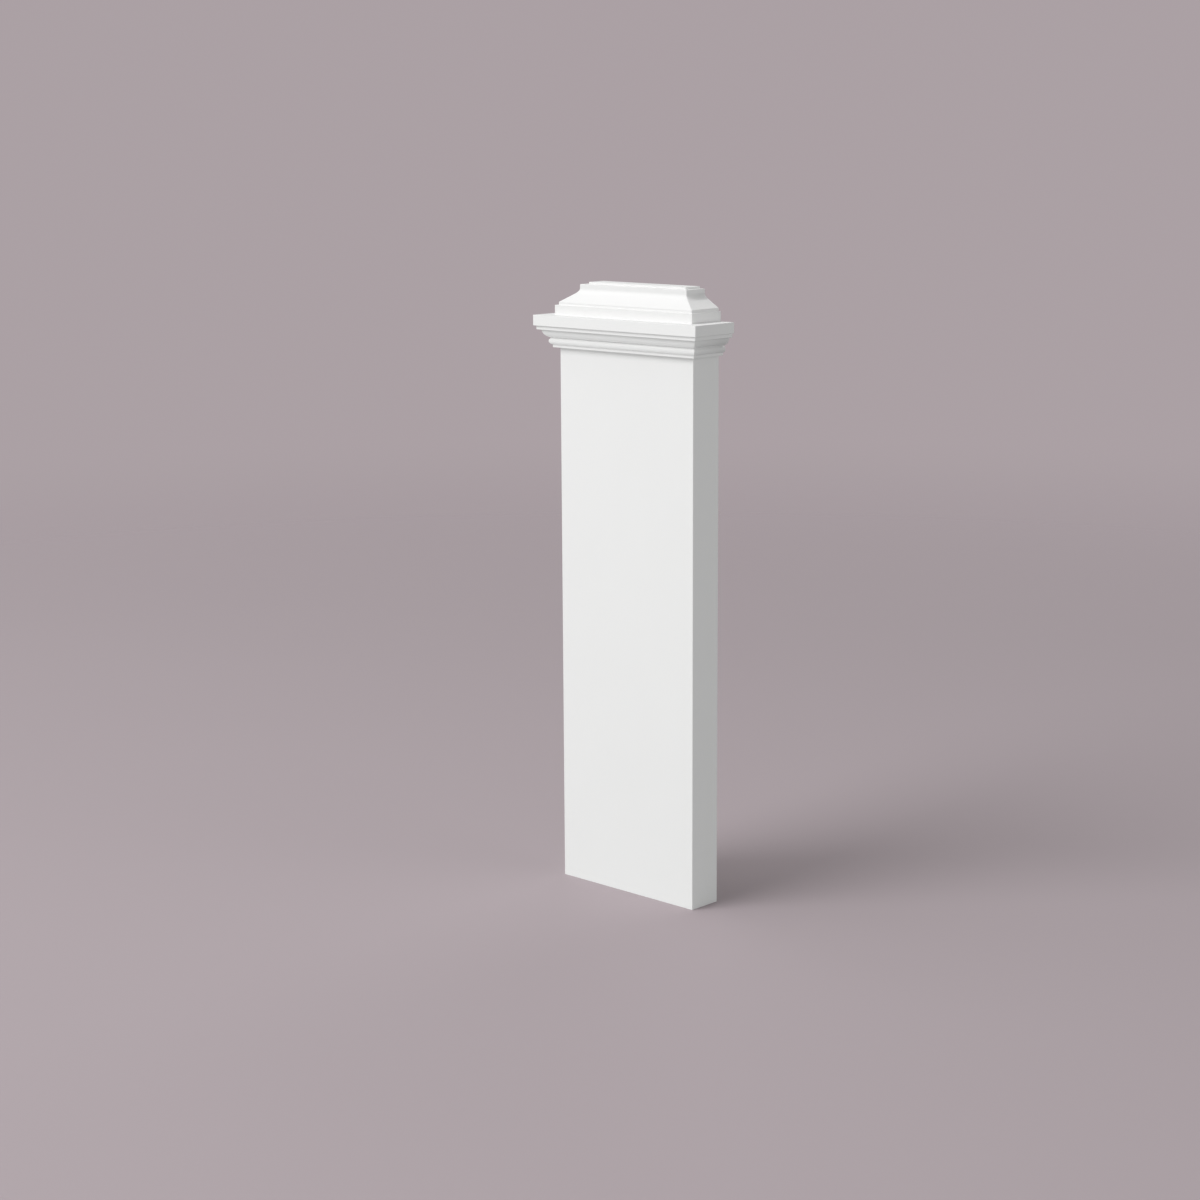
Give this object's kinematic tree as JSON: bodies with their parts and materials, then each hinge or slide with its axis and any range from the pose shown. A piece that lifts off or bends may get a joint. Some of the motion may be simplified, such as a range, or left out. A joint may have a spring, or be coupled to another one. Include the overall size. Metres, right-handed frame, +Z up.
{
  "type": "pilaster base",
  "caption": "Pedestal base for a pilaster: plain block with a moulded cap returned round both sides, flat-backed to stand against a wall and carry a shaft.",
  "frame": {"origin": "bottom centre of the bounding box, at floor level", "axes": "+Z up; +Y into the wall, so the moulded front faces -Y and the flat back faces +Y; +X to the right seen from the front"},
  "size_m": [0.3042, 0.0796, 0.87],
  "materials": {
    "primed_foam": "smooth cast high-density polyurethane foam with a matt white factory primer"
  },
  "bodies": {
    "root": {"pilaster_base": "primed_foam"}
  },
  "joints": []
}
